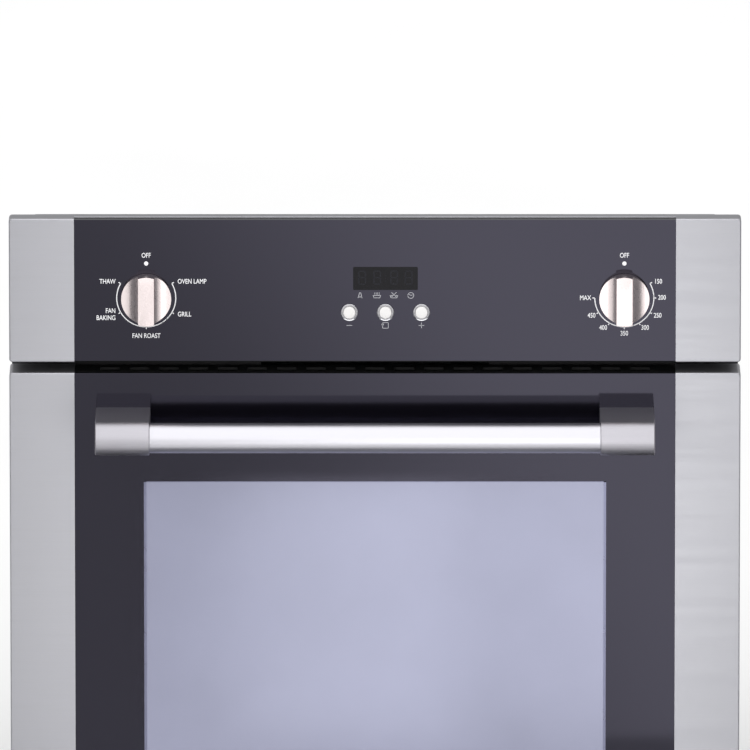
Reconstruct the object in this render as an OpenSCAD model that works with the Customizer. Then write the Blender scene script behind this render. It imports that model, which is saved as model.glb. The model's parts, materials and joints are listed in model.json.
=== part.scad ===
// Built-in wall oven: casing, cavity, control panel, drop-down door and what they hold.
// The front face of the glass is the plane y = 0 in every module; seat() then centres the oven.

/* [Front] */
// Overall width of the front
front_w = 595; // [590:1:600]
// Height of the control panel's top edge above the base
front_h = 595; // [590:1:610]
// Height of the control panel
panel_h = 119; // [117:1:125]
// Gap between the control panel and the door
door_gap = 8.8; // [8:0.1:12]
// Width of each steel strip beside the glass
strip_w = 53; // [40:1:60]
// Thickness of the front glass
glass_t = 4; // [3:0.5:5]

/* [Casing] */
// Width of the casing behind the front
case_w = 556; // [552:1:564]
// Depth of the casing behind the front frame
case_d = 540; // [535:1:560]
// Height of the casing just behind the control panel
case_h = 572; // [570:1:576]
// Height of the casing at the back
case_back_h = 470; // [466:1:476]
// Thickness of the casing sheet
sheet = 1.2; // [0.8:0.1:1.5]

/* [Cavity] */
// Inner width of the cavity
cav_w = 475; // [460:1:480]
// Inner height of the cavity
cav_h = 354; // [340:1:356]
// Inner depth of the cavity behind the front frame
cav_d = 415.5; // [410:0.5:420]

/* [Controls] */
// Diameter of a knob's base
knob_d = 40.7; // [36:0.1:42]
// How far a knob stands out of the glass
knob_out = 18; // [16:0.5:22]
// Distance of the left knob from the middle
left_knob_x = 185.9; // [150:0.1:200]
// Distance of the right knob from the middle
right_knob_x = 202.6; // [180:0.1:210]
// Diameter of a push button
button_d = 9.8; // [9:0.1:10]
// Travel of a push button
button_travel = 1.5; // [1:0.1:1.5]

/* [Handle] */
// Diameter of the handle bar
handle_d = 24.5; // [20:0.5:26]
// Length of the handle with its end brackets
handle_l = 454; // [300:1:480]
// Distance of the handle bar's axis from the glass
handle_out = 54; // [45:1:60]

/* [Hidden] */
$fn = 64;
e = 0.01;
door_t = 40;
gasket_t = 5;
trim_t = 1;
trim_d = 17;
door_z0 = 5;
panel_z0 = front_h - panel_h;
door_z1 = panel_z0 - door_gap;
frame_y = door_t + gasket_t;
frame_t = 1.5;
case_y0 = frame_y + frame_t;
case_y1 = case_y0 + case_d;
slope_y = case_y0 + 79;
half_case = case_w / 2;
cav_z0 = 78;
cav_z1 = cav_z0 + cav_h;
cav_y1 = case_y0 + cav_d;
cav_x = cav_w / 2;
cav_mid = (cav_z0 + cav_z1) / 2;
blanket_t = 24;
deck_z = cav_z1 + sheet + blanket_t;
gland_out = 13;
end_w = 44.2;
end_r = handle_d / 2 + 1.75;
screw_x = handle_l / 2 - end_w / 2;
lamp_x = cav_x - 42.5;
lamp_z = cav_z1 - 82;
capillary_x = -120;
capillary_y = 115;
front_y = -(case_y1 + sheet + gland_out - handle_out - end_r) / 2;
knob_z = front_h - 65.8;
button_z = front_h - 77.7;
display_z = front_h - 49.6;
controls_x = 8.5;
button_pitch = 29.3;
spindle_r = 3;
spindle_y0 = -13;
thermostat_l = 31;
board_y = glass_t + 10;
button_stem_r = 2.5;
bezel_in = button_d / 2 + 0.2;
bezel_hole = button_d / 2 + 1;
run = 0.05;
pivot_y = 24;
pivot_z = 18;
pin_r = 3;
arm_x = half_case - 6.5;
arm_t = 5;
handle_z = door_z1 - 42.9;
glass_side = 5.5;
rail_h = 19;
channel_w = 30;
inner_y = 36;
rail_r = 2.2;
rail_x = cav_x - 6.5;
ladder_ys = [95, cav_y1 - 67];
shelf_y1 = cav_y1 - 50;
level_pitch = (cav_h - 64) / 5;
level_z0 = cav_z0 + 40;
cover_y = cav_y1 - 34;
fan_y = cav_y1 - 26;
ring_y = cav_y1 - 16;
ring_r = 92;
element_r = 3.2;
leg_r = 2.6;
bulb_screw_r = 6;
broil_xs = [-cav_x + 47.5, -70, 70, cav_x - 47.5];
broil_z = cav_z1 - 18;
bake_xs = [-cav_x + 57.5, -60, 60, cav_x - 57.5];
shaft_r = 4;
blower_y = 240;
duct_top = deck_z + 20;
gland_x = -200;
gland_z = 330;
gland_r = 8;
hinge_top = 180;
hinge_y1 = 32;
hinge_w = 5.5;
side_screw_r = 1.6;
screw_zs = [70, 30, case_back_h - 30];
blower_z = deck_z + 39;
wheel_r = 26;
wheel_l = 180;

// Moves the oven so that the middle of its box stands over the origin.
module seat() { translate([0, front_y, 0]) children(); }

// A cube given by its low and high corners.
module box(lo, hi) { translate(lo) cube(hi - lo); }

// A cylinder along Y from y0 to y1.
module rod_y(x, y0, y1, z, r) { translate([x, y0, z]) rotate([-90, 0, 0]) cylinder(r = r, h = y1 - y0); }

// A cylinder along X from x0 to x1.
module rod_x(x0, x1, y, z, r) { translate([x0, y, z]) rotate([0, 90, 0]) cylinder(r = r, h = x1 - x0); }

// A left and a right copy, as mirror images.
module both() {
  children();
  mirror([1, 0, 0]) children();
}

// A flat rectangle w by h with rounded corners, made of exact pieces.
module round_rect(w, h, r) {
  square([w - 2 * r, h], center = true);
  square([w, h - 2 * r], center = true);
  for (x = [-1, 1], y = [-1, 1]) translate([x * (w / 2 - r), y * (h / 2 - r)]) circle(r);
}

// A round tube in a flat U, M or W: straight runs along Y joined by half rings.
module element_tube(xs, y_front, y_back, y_end, z, r) {
  last = len(xs) - 1;
  for (i = [0 : last]) {
    rod_y(xs[i], y_front, i == 0 || i == last ? y_end : y_back, z, r);
  }
  for (i = [0 : last - 1]) {
    front = i % 2 == 0;
    bend = (xs[i + 1] - xs[i]) / 2;
    translate([xs[i] + bend, front ? y_front : y_back, z]) rotate([0, 0, front ? 180 : 0])
      rotate_extrude(angle = 180) translate([bend, 0]) circle(r);
  }
}

// ---- Casing ----

module casing_base() {
  color("silver") difference() {
    union() {
      box([-half_case, case_y0, 0], [half_case, case_y1, sheet]);
      for (y = [case_y0, case_y1 - sheet])
        box([-half_case + sheet, y, 0], [half_case - sheet, y + sheet, 14]);
    }
    for (i = [-4 : 4]) box([i * 50 - 15, 150, -1], [i * 50 + 15, 158, sheet + 1]);
    both() box([arm_x - 7, case_y0 - 1, 5], [arm_x + 7, case_y0 + 3, 15]);
  }
}

// The outline of a casing side, seen from the side.
module side_outline() {
  polygon([[case_y0, sheet], [case_y1, sheet], [case_y1, case_back_h], [slope_y, case_h],
    [case_y0, case_h]]);
}

module casing_side() {
  difference() {
    translate([half_case - sheet, 0, 0]) rotate([90, 0, 90]) linear_extrude(sheet) side_outline();
    for (i = [0 : 9], z = [90, 380])
      box([half_case - 5, 480 + i * 9, z], [half_case + 1, 483 + i * 9, z + 45]);
    side_screws(0, side_screw_r);
  }
}

// The screws of one side, as plain cylinders that stand out by the given length.
module side_screws(out, r) {
  y0 = case_y0 + 30;
  y1 = case_y1 - 8;
  for (p = [[y0, screw_zs[0]], [y1, screw_zs[1]], [y0, screw_zs[2]], [y1, screw_zs[2]]]) {
    rod_x(half_case - sheet - 6, half_case + e, p[0], p[1], r);
    if (out > 0) rod_x(half_case, half_case + out, p[0], p[1], 2 * r);
  }
}

module casing_left_side() { color("silver") mirror([1, 0, 0]) casing_side(); }

module casing_right_side() { color("silver") casing_side(); }

module casing_screws() {
  color("dimgray") both() side_screws(1.8, side_screw_r);
}

module casing_top_cover() {
  run_y = case_y1 - slope_y;
  slope = (case_back_h - case_h) / run_y;
  color("silver") difference() {
    translate([-half_case, 0, 0]) rotate([90, 0, 90]) linear_extrude(case_w)
      polygon([[case_y0, case_h], [slope_y, case_h], [case_y1, case_back_h],
        [case_y1, case_back_h + sheet], [slope_y, case_h + sheet], [case_y0, case_h + sheet]]);
    for (i = [-6 : 6]) {
      y = case_y0 + 300;
      box([i * 32 - 10, y, 400], [i * 32 + 10, y + 5, 600]);
      box([i * 32 - 10, y + 20, 400], [i * 32 + 10, y + 25, 600]);
    }
  }
}

module casing_back_panel() {
  color("silver") difference() {
    box([-half_case, case_y1, 0], [half_case, case_y1 + sheet, case_back_h + sheet]);
    for (x = [-4 : 4], z = [0 : 7])
      box([x * 30 - 10, case_y1 - 1, 180 + z * 16], [x * 30 + 10, case_y1 + 3, 185 + z * 16]);
    rod_y(gland_x, case_y1 - 1, case_y1 + 3, gland_z, gland_r);
  }
}

module front_frame() {
  color("dimgray") difference() {
    box([-front_w / 2 + 1.4, frame_y, 2], [front_w / 2 - 1.4, case_y0, front_h - 9]);
    box([-cav_x, frame_y - 1, cav_z0], [cav_x, case_y0 + 1, cav_z1]);
    box([16 - half_case, frame_y - 1, deck_z + 36], [half_case - 16, case_y0 + 1, front_h - 25]);
    box([-93, frame_y - 1, deck_z + 4], [93, case_y0 + 1, duct_top - 2]);
    both() {
      box([arm_x - 3.5, frame_y - 1, 8], [arm_x + 3.5, case_y0 + 1, 30]);
      for (z = [110, panel_z0 - 36]) rod_y(half_case + 10, frame_y - 1, case_y0 + 1, z, 2.5);
    }
  }
}

// ---- Cavity ----

module cavity_liner() {
  color("#2b2b30") difference() {
    box([-cav_x - sheet, case_y0, cav_z0 - sheet], [cav_x + sheet, cav_y1 + sheet, cav_z1 + sheet]);
    box([-cav_x, case_y0 - 1, cav_z0], [cav_x, cav_y1, cav_z1]);
    rod_y(0, cav_y1 - 1, cav_y1 + 3, cav_mid, shaft_r + 2);
    rod_y(lamp_x, cav_y1 - 1, cav_y1 + 3, lamp_z, 18);
    both() rod_y(broil_xs[3], cav_y1 - 1, cav_y1 + 3, broil_z, element_r + 0.2);
    both() rod_y(12, cav_y1 - 1, cav_y1 + 3, cav_mid - ring_r, element_r + 0.2);
    translate([capillary_x, capillary_y, cav_z1 - 1]) cylinder(r = 2.4, h = 4);
  }
}

module cavity_insulation() {
  color("khaki") difference() {
    box([-cav_x - blanket_t, case_y0 + 2, cav_z0 - sheet - blanket_t],
      [cav_x + blanket_t, cav_y1 + 25, deck_z]);
    box([-cav_x - sheet, case_y0, cav_z0 - sheet], [cav_x + sheet, cav_y1 + sheet, cav_z1 + sheet]);
    box([-bake_xs[3] - 25, 85, cav_z0 - 10], [bake_xs[3] + 25, cav_y1 + 30, cav_z0 + 1]);
    rod_y(0, cav_y1, cav_y1 + 30, cav_mid, 60);
    box([-23, cav_y1, cav_mid - 104], [23, cav_y1 + 30, cav_mid - 50]);
    rod_y(lamp_x, cav_y1, cav_y1 + 30, lamp_z, 22);
    both() rod_y(broil_xs[3], cav_y1, cav_y1 + 30, broil_z, element_r + 1.8);
    translate([capillary_x, capillary_y, cav_z1]) cylinder(r = 4, h = 40);
  }
}

module cavity_top_deck() {
  color("silver") difference() {
    box([-half_case + sheet, case_y0, deck_z], [half_case - sheet, case_y1, deck_z + sheet]);
    translate([capillary_x, capillary_y, deck_z - 1]) cylinder(r = 2.4, h = 4);
  }
}

module fan_cover() {
  color("#34343a") difference() {
    box([-150, cover_y, cav_mid - 120], [150, cav_y1, cav_mid + 112]);
    box([sheet - 150, cover_y + sheet, cav_mid - 120 + sheet],
      [150 - sheet, cav_y1 + 1, cav_mid + 112 - sheet]);
    for (ring = [1 : 3], i = [0 : 6 * ring - 1]) {
      a = i * 60 / ring;
      rod_y(ring * 17 * cos(a), cover_y - 1, cover_y + 2, cav_mid + ring * 17 * sin(a), 6);
    }
    rod_y(0, cover_y - 1, cover_y + 2, cav_mid, 6);
    for (z = [cav_mid - 84 : 28 : cav_mid + 84])
      box([-160, cover_y + 12, z - 9], [160, cover_y + 24, z + 9]);
  }
}

module ring_element() {
  color("dimgray") {
    translate([0, ring_y, cav_mid]) rotate([90, 0, 0]) rotate_extrude() translate([ring_r, 0])
      circle(element_r);
    both() rod_y(12, ring_y - 1.5, cav_y1 + 30, cav_mid - ring_r + 0.8, leg_r);
    box([-22, cav_y1 + sheet, cav_mid - 99], [22, cav_y1 + sheet + 1.5, cav_mid - 84]);
  }
}

module broil_element() {
  color("dimgray") {
    element_tube(broil_xs, 140, cav_y1 - 122, cav_y1 + 38, broil_z, element_r);
    both() box([broil_xs[3] - 12, cav_y1 - 1.5, broil_z - 9],
      [broil_xs[3] + 12, cav_y1, broil_z + 9]);
  }
}

module bake_element() {
  z = cav_z0 - sheet - element_r;
  color("dimgray") element_tube(bake_xs, 150, cav_y1 - 122, cav_y1 + 38, z, element_r);
}

module lamp_lens() {
  color("white") difference() {
    union() {
      rod_y(lamp_x, cav_y1 - 4, cav_y1, lamp_z, 24);
      rod_y(lamp_x, cav_y1 - 16, cav_y1 - 4, lamp_z, 19);
    }
    rod_y(lamp_x, cav_y1 - 13, cav_y1 + 1, lamp_z, 16.5);
  }
}

module lamp_holder() {
  color("white") difference() {
    rod_y(lamp_x, cav_y1 - 1, cav_y1 + 40, lamp_z, 16);
    rod_y(lamp_x, cav_y1 - 2, cav_y1 + 24, lamp_z, 2 * bulb_screw_r);
  }
  color("silver") difference() {
    rod_y(lamp_x, cav_y1 + sheet, cav_y1 + sheet + 1.5, lamp_z, 21);
    rod_y(lamp_x, cav_y1, cav_y1 + 5, lamp_z, 15);
  }
}

module lamp_bulb() {
  color("ivory") {
    rod_y(lamp_x, cav_y1 - 2, cav_y1 + 24, lamp_z, bulb_screw_r);
    translate([lamp_x, cav_y1 - 2, lamp_z]) sphere(8.5);
  }
}

module rack_ladders() {
  color("lightgray") both() {
    for (y = ladder_ys) translate([cav_x - 2.5, y, cav_z0 + 10]) cylinder(r = 2.5, h = cav_h - 28);
    for (level = [0 : 4], rail = [0, 16]) {
      z = level_z0 + level * level_pitch + rail;
      rod_y(rail_x, 75, shelf_y1 + 8, z, rail_r);
      for (y = ladder_ys) rod_x(rail_x, cav_x - 2.5, y, z, 1.8);
    }
  }
}

// The height at which a shelf's edge lies on the rails of a level.
function shelf_z(level) = level_z0 + level * level_pitch + rail_r + 0.3;

module wire_rack() {
  r = 2.5;
  z = shelf_z(3) + r;
  x = rail_x - 2;
  y0 = 64;
  color("lightgray") {
    for (y = [y0, shelf_y1]) rod_x(-x, x, y, z, r);
    for (s = [-x, x]) rod_y(s, y0, shelf_y1, z, r);
    for (s = [-x, x], y = [y0, shelf_y1]) translate([s, y, z]) sphere(r);
    for (i = [-8 : 8]) rod_y(i * (x - 4) / 9, y0, shelf_y1, z, 1.5);
    for (y = [150, shelf_y1 - 87]) rod_x(7 - x, x - 7, y, z - 2.6, 1.8);
  }
}

module baking_tray() {
  z = shelf_z(1);
  t = 1.2;
  rim = 4;
  x = rail_x - 10;
  y0 = 66;
  y1 = shelf_y1 - rim;
  color("#2b2b30") difference() {
    union() {
      box([-rail_x - 0.5, y0 - rim, z], [rail_x + 0.5, shelf_y1, z + t]);
      box([-x, y0, z - 28], [x, y1, z + t / 2]);
    }
    box([t - x, y0 + t, z - 28 + t], [x - t, y1 - t, z + 3]);
  }
}

module door_gasket() {
  color("#1c1c1c") translate([0, frame_y, cav_mid]) rotate([90, 0, 0]) linear_extrude(4.7)
    difference() {
      round_rect(cav_w + 30, cav_h + 30, 18);
      round_rect(cav_w + 8, cav_h + 8, 8);
    }
}

module convection_motor() {
  color("gray") difference() {
    union() {
      rod_y(0, cav_y1 + 16, cav_y1 + 62, cav_mid, 36);
      rod_y(0, cav_y1 + 14, cav_y1 + 16, cav_mid, 44);
      for (a = [45 : 90 : 315])
        rod_y(38 * cos(a), cav_y1 + sheet, cav_y1 + 16, cav_mid + 38 * sin(a), 4);
    }
    rod_y(0, cav_y1, cav_y1 + 56, cav_mid, shaft_r + run);
  }
}

module convection_fan() {
  color("lightgray") {
    rod_y(0, fan_y, cav_y1 + 54, cav_mid, shaft_r);
    rod_y(0, fan_y + 1, fan_y + 19, cav_mid, 9);
    rod_y(0, fan_y + 18, fan_y + 19.5, cav_mid, 70);
    for (a = [0 : 30 : 330]) translate([0, 0, cav_mid]) rotate([0, a, 0])
      box([38, fan_y + 2, -0.7], [69, fan_y + 18.5, 0.7]);
  }
}

// ---- Cooling air ----

module blower_housing() {
  drum_r = wheel_r + 4;
  end_x = wheel_l / 2 + 6;
  color("silver") difference() {
    union() {
      box([-end_x, blower_y - 34, deck_z + sheet], [end_x, blower_y + 34, blower_z + 33]);
      box([-end_x, case_y0, deck_z + sheet], [end_x, blower_y, duct_top]);
    }
    rod_x(-end_x + 1.5, end_x - 1.5, blower_y, blower_z, drum_r);
    box([-end_x + 1.5, case_y0 - 1, deck_z + 3], [end_x - 1.5, blower_y, duct_top - 1.5]);
    box([-end_x + 1.5, blower_y, blower_z - 8], [end_x - 1.5, blower_y + 40, blower_z + 20]);
    rod_x(-end_x - 1, end_x + 1, blower_y, blower_z, 2 + run);
  }
}

module blower_wheel() {
  color("dimgray") {
    rod_x(-wheel_l / 2 - 5.5, wheel_l / 2 + 30, blower_y, blower_z, 2);
    for (x = [-wheel_l / 2, -1, wheel_l / 2 - 2]) rod_x(x, x + 2, blower_y, blower_z, wheel_r);
    for (a = [0 : 15 : 345]) translate([0, blower_y, blower_z]) rotate([a, 0, 0])
      box([-wheel_l / 2, wheel_r - 8, -0.6], [wheel_l / 2, wheel_r - 0.4, 0.6]);
  }
}

module blower_motor() {
  x0 = wheel_l / 2 + 6;
  color("gray") difference() {
    union() {
      box([x0, blower_y - 24, blower_z - 24], [x0 + 22, blower_y + 24, blower_z + 24]);
      box([x0 + 22, blower_y - 12, blower_z - 22], [x0 + 34, blower_y + 12, blower_z - 6]);
    }
    rod_x(x0 - 1, x0 + 26, blower_y, blower_z, 2 + run);
  }
}

module vent_grille() {
  x = half_case - 43;
  z0 = door_z1 + 0.8;
  color("#101010") difference() {
    union() {
      box([-x, door_t - 2, z0], [x, door_t - 0.8, panel_z0 + 3]);
      box([-x, door_t - 2, panel_z0 + 1.8], [x, frame_y, panel_z0 + 3]);
    }
    for (i = [-12 : 12]) box([i * 18 - 6, door_t - 3, z0 + 2.5], [i * 18 + 6, door_t, z0 + 6]);
  }
}

// ---- Control panel ----

module panel_carrier() {
  x = front_w / 2 - 4;
  back_z = front_h - 8;
  color("#222222") difference() {
    union() {
      box([-x, glass_t, panel_z0 + 3], [x, trim_d, front_h - 1]);
      box([-x, trim_d - e, panel_z0 + 3], [x, frame_y, back_z]);
    }
    box([2 - x, glass_t + 2.5, panel_z0 + 5], [x - 2, trim_d - 2, front_h - 3]);
    box([2 - x, glass_t + 2.5, panel_z0 + 5], [x - 2, frame_y + 1, back_z - 2]);
    box([controls_x - 27, 0, display_z - 10.5], [controls_x + 27, 10, display_z + 10.5]);
    for (x = [-left_knob_x, right_knob_x]) rod_y(x, 0, 10, knob_z, spindle_r + 2.2);
    for (i = [-1 : 1]) rod_y(controls_x + i * button_pitch, 0, 10, button_z, bezel_hole);
  }
}

module panel_glass() {
  color("#3c3a42") difference() {
    box([-front_w / 2 + glass_side, 0, panel_z0 + 1], [front_w / 2 - glass_side, glass_t, front_h - 1]);
    for (x = [-left_knob_x, right_knob_x]) rod_y(x, -1, 10, knob_z, spindle_r + 1.5);
    for (i = [-1 : 1]) rod_y(controls_x + i * button_pitch, -1, 10, button_z, bezel_hole);
  }
}

// An angle strip: a front face strip_w wide and a side wall depth deep, with a rounded edge.
module side_strip(z0, z1, depth) {
  r = 2;
  w = front_w / 2;
  translate([0, 0, z0]) linear_extrude(z1 - z0) difference() {
    union() {
      translate([w - strip_w, -trim_t]) square([strip_w - r, depth + trim_t]);
      translate([w - r - e, r - trim_t]) square([r + e, depth + trim_t - r]);
      translate([w - r, r - trim_t]) circle(r);
    }
    translate([w - strip_w - 1, 0]) square([strip_w + 1 - trim_t, depth + 1]);
  }
}

module panel_side_strips() { color("#bcbcc0") both() side_strip(panel_z0, front_h, trim_d); }

module panel_top_trim() {
  x = front_w / 2 - 2.5;
  color("#9a989e") box([-x, 0, front_h - 1], [x, trim_d, front_h]);
}

// A rotary control behind the panel: plate, body and the bore for its spindle.
module rotary_control(x, w, h, depth) {
  difference() {
    union() {
      box([x - w / 2 - 4, glass_t + 2.5, knob_z - 12], [x + w / 2 + 4, glass_t + 4, knob_z + 12]);
      box([x - w / 2, glass_t + 4, knob_z - h / 2], [x + w / 2, glass_t + 4 + depth, knob_z + h / 2]);
    }
    rod_y(x, 0, 34, knob_z, spindle_r + run);
  }
}

module selector_switch() { color("#3a2a20") rotary_control(-left_knob_x, 42, 40, 30); }

module thermostat() { color("silver") rotary_control(right_knob_x, 46, 38, thermostat_l); }

module thermostat_bulb() {
  r = 1.2;
  bend = 15;
  x = capillary_x;
  color("peru") {
    rod_y(right_knob_x, glass_t + 4 + thermostat_l, capillary_y - bend, knob_z - 12, r);
    translate([right_knob_x - bend, capillary_y - bend, knob_z - 12])
      rotate_extrude(angle = 90) translate([bend, 0]) circle(r);
    rod_x(x + bend, right_knob_x - bend, capillary_y, knob_z - 12, r);
    translate([x + bend, capillary_y, knob_z - 12 - bend]) rotate([90, 0, 0]) rotate([0, 0, 90])
      rotate_extrude(angle = 90) translate([bend, 0]) circle(r);
    translate([x, capillary_y, cav_z1 - 10]) cylinder(r = r, h = knob_z - 12 - bend - cav_z1 + 10);
    rod_y(x, capillary_y - 4, 210, cav_z1 - 10, 3);
  }
}

module timer_module() {
  color("darkgreen") box([controls_x - 48, board_y, button_z - 12],
    [controls_x + 48, board_y + 20, display_z + 14]);
  color("silver") {
    for (i = [-1 : 1]) rod_y(controls_x + i * button_pitch, glass_t + 6.8, board_y + e, button_z, 2);
    for (x = [-44, 44]) rod_y(controls_x + x, glass_t + 2.5, board_y + e, display_z, 3);
  }
}

module timer_display() {
  color("#26252a") box([controls_x - 26.3, glass_t, display_z - 9.6],
    [controls_x + 26.3, board_y, display_z + 9.6]);
}

module button_bezels() {
  color("white") for (i = [-1 : 1]) translate([controls_x + i * button_pitch, 0, button_z])
    rotate([90, 0, 0]) rotate_extrude()
      polygon([[bezel_in, -glass_t - 2.5], [bezel_hole, -glass_t - 2.5], [bezel_hole, 0],
        [bezel_in + 1.95, 0], [bezel_in + 1.95, 0.8], [bezel_in + 1.4, 1.3], [bezel_in, 1.3]]);
}

// A push button: a domed cap on a stem, running in its bezel.
module push_button(i) {
  r = button_d / 2;
  color("whitesmoke") translate([controls_x + i * button_pitch, 0, button_z]) rotate([90, 0, 0])
    rotate_extrude()
      polygon([[0, -glass_t - 5], [button_stem_r, -glass_t - 5], [button_stem_r, -glass_t],
        [r, -glass_t], [r, 1.4], [r - 0.6, 2], [0, 2.3]]);
}

module button_minus() { push_button(-1); }

module button_menu() { push_button(0); }

module button_plus() { push_button(1); }

// A knob at x: a round base and a grip bar with hollowed flanks.
module knob(x) {
  r = knob_d / 2;
  base_t = 6;
  bar = 6.4;
  hollow = 9;
  top = knob_out;
  translate([x, 0, knob_z]) difference() {
    intersection() {
      rotate([90, 0, 0]) translate([0, 0, 0.8]) rotate_extrude()
        polygon([[0, 0], [r, 0], [r, base_t - 2], [r - 1, base_t - 0.8], [r - 1, base_t],
          [r - 1.1, top - 1.6], [r - 1.8, top - 0.8], [0, top - 0.8]]);
      translate([0, 0, -r]) linear_extrude(2 * r) difference() {
        translate([-r - 1, -top]) square([2 * r + 2, top]);
        for (s = [-1, 1]) {
          translate([s * (bar + hollow), -base_t + 0.8 - hollow]) circle(hollow);
          translate([s * (bar + hollow + r) - r, -top - 1]) square([2 * r, top + 1 - base_t + 0.8]);
          translate([s * (bar + r) - r, -top - 1]) square([2 * r, top + 1 - base_t - hollow + 0.8]);
        }
      }
    }
    rod_y(0, spindle_y0, 1, 0, spindle_r);
  }
}

// The spindle of a knob at x, from the knob into its control.
module spindle(x) { color("silver") rod_y(x, spindle_y0, 32, knob_z, spindle_r); }

module function_knob() { color("#e8dfdd") knob(-left_knob_x); }

module temperature_knob() { color("#e8dfdd") knob(right_knob_x); }

module function_spindle() { spindle(-left_knob_x); }

module temperature_spindle() { spindle(right_knob_x); }

// ---- Mains connection ----

module terminal_block() {
  color("ivory") difference() {
    box([gland_x - 35, case_y1 - 24, gland_z + 30], [gland_x + 35, case_y1, gland_z + 70]);
    for (i = [-1 : 1]) rod_y(gland_x + i * 20, case_y1 - 25, case_y1 - 12, gland_z + 50, 4);
  }
}

module cable_gland() {
  color("#222222") difference() {
    union() {
      rod_y(gland_x, case_y1 - 6, case_y1 + sheet + gland_out, gland_z, gland_r);
      translate([gland_x, case_y1 + sheet, gland_z]) rotate([-90, 0, 0])
        cylinder(r = 13, h = 7, $fn = 6);
      translate([gland_x, case_y1 - 5, gland_z]) rotate([-90, 0, 0])
        cylinder(r = 12, h = 5, $fn = 6);
    }
    rod_y(gland_x, case_y1 - 8, case_y1 + gland_out + 7, gland_z, 5);
  }
}

// ---- Hinges ----

module hinge_receivers() {
  color("gray") both() difference() {
    box([arm_x - hinge_w, case_y0, 6], [half_case - sheet, case_y0 + 44, 40]);
    box([arm_x - arm_t / 2, case_y0 - 1, 9], [arm_x + arm_t / 2, case_y0 + 45, 28]);
  }
}

module hinge_arms() {
  color("silver") both() difference() {
    translate([arm_x - arm_t / 2, 0, 0]) union() {
      rotate([90, 0, 90]) linear_extrude(arm_t)
        polygon([[pivot_y, pivot_z - 6], [case_y0 + 40, 11], [case_y0 + 40, 26], [pivot_y, pivot_z + 6]]);
      rod_x(0, arm_t, pivot_y, pivot_z, 7);
    }
    rod_x(arm_x - arm_t, arm_x + arm_t, pivot_y, pivot_z, pin_r + run);
  }
}

module hinge_cases() {
  w = hinge_w;
  t = 1.6;
  color("gray") both() difference() {
    box([arm_x - w, glass_t + 3, 9], [arm_x + w, hinge_y1, hinge_top]);
    box([arm_x - w + t, glass_t + 3 + t, 8], [arm_x + w - t, hinge_y1 + 1, hinge_top - t]);
    rod_x(arm_x - 10, arm_x + 10, pivot_y, pivot_z, pin_r);
  }
}

module hinge_pins() {
  color("silver") both() rod_x(arm_x - hinge_w, arm_x + hinge_w, pivot_y, pivot_z, pin_r);
}

// A point and a section of the coil at angle a, for a spring standing along Z.
function coil_point(a, s, turns, h, mean, wire) =
  let (ring = mean + wire * cos(s))
  [ring * cos(a), ring * sin(a), h * a / (360 * turns) + wire * sin(s)];

module coil(turns, h, mean, wire) {
  step = 36;
  sides = 6;
  count = turns * 360 / step;
  points = [for (i = [0 : count], k = [0 : sides - 1])
    coil_point(i * step, k * 360 / sides, turns, h, mean, wire)];
  walls = [for (i = [0 : count - 1], k = [0 : sides - 1], half = [0, 1])
    let (a = i * sides + k, b = i * sides + (k + 1) % sides)
    half == 0 ? [a, b, b + sides] : [a, b + sides, a + sides]];
  ends = [[for (k = [sides - 1 : -1 : 0]) k], [for (k = [0 : sides - 1]) count * sides + k]];
  polyhedron(points, concat(walls, ends));
}

module hinge_springs() {
  wire = 0.8;
  z0 = 40;
  color("silver") both() translate([arm_x, 20, z0]) coil(15, hinge_top - 1.6 - z0 - wire, 2.6, wire);
}

// ---- Door ----

module door_outer_glass() {
  x = front_w / 2 - glass_side;
  color("#3c3a42") difference() {
    box([-x, 0, door_z0 + 1], [x, glass_t, door_z1 - 0.5]);
    both() rod_y(screw_x, -1, 10, handle_z, 2.6);
  }
}

module door_side_strips() { color("#bcbcc0") both() side_strip(door_z0, door_z1, inner_y); }

module door_rails() {
  x = front_w / 2 - glass_side - channel_w;
  color("#1a1a1a") for (z = [door_z0 + 1, door_z1 - 1.2 - rail_h]) difference() {
    box([-x, glass_t, z], [x, inner_y, z + rail_h]);
    box([-x - 1, glass_t + 2, z + 2], [x + 1, inner_y - 2, z + rail_h - 2]);
    for (i = [-9 : 9]) box([i * 24 - 8, glass_t + 8, z - 1], [i * 24 + 8, glass_t + 22, z + rail_h + 1]);
    both() rod_y(screw_x, 0, inner_y - 3, handle_z, 2.6);
  }
}

module door_side_channels() {
  x1 = front_w / 2 - glass_side;
  x0 = x1 - channel_w;
  top = door_z1 - 1.2;
  color("silver") both() {
    box([x0, glass_t, door_z0 + 1], [x0 + 1.2, inner_y, top]);
    box([x1 - 1.2, glass_t, door_z0 + 1], [x1, inner_y, top]);
    box([x0, glass_t, door_z0 + 1], [x1, glass_t + 1.2, top]);
    box([x0, inner_y - 1.2, 70], [x1, inner_y, top]);
    box([x0, glass_t, top - 1.2], [x1, inner_y, top]);
    box([x0, glass_t, hinge_top], [x1, hinge_y1, hinge_top + 1.2]);
    box([x0, glass_t, 20], [arm_x - hinge_w, glass_t + 3, 60]);
  }
}

module door_middle_glass() {
  x = front_w / 2 - glass_side - channel_w;
  color("lightcyan") box([-x, 18, door_z0 + 1 + rail_h], [x, 21, door_z1 - 1.2 - rail_h]);
}

module door_inner_glass() {
  x = front_w / 2 - glass_side - channel_w + 2;
  color("lightcyan") box([-x, inner_y, 14], [x, door_t, door_z1 - 9]);
}

module handle_bar() {
  color("#f5f4fa") rod_x(-handle_l / 2 + 12, handle_l / 2 - 12, -handle_out, handle_z, handle_d / 2);
}

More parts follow.
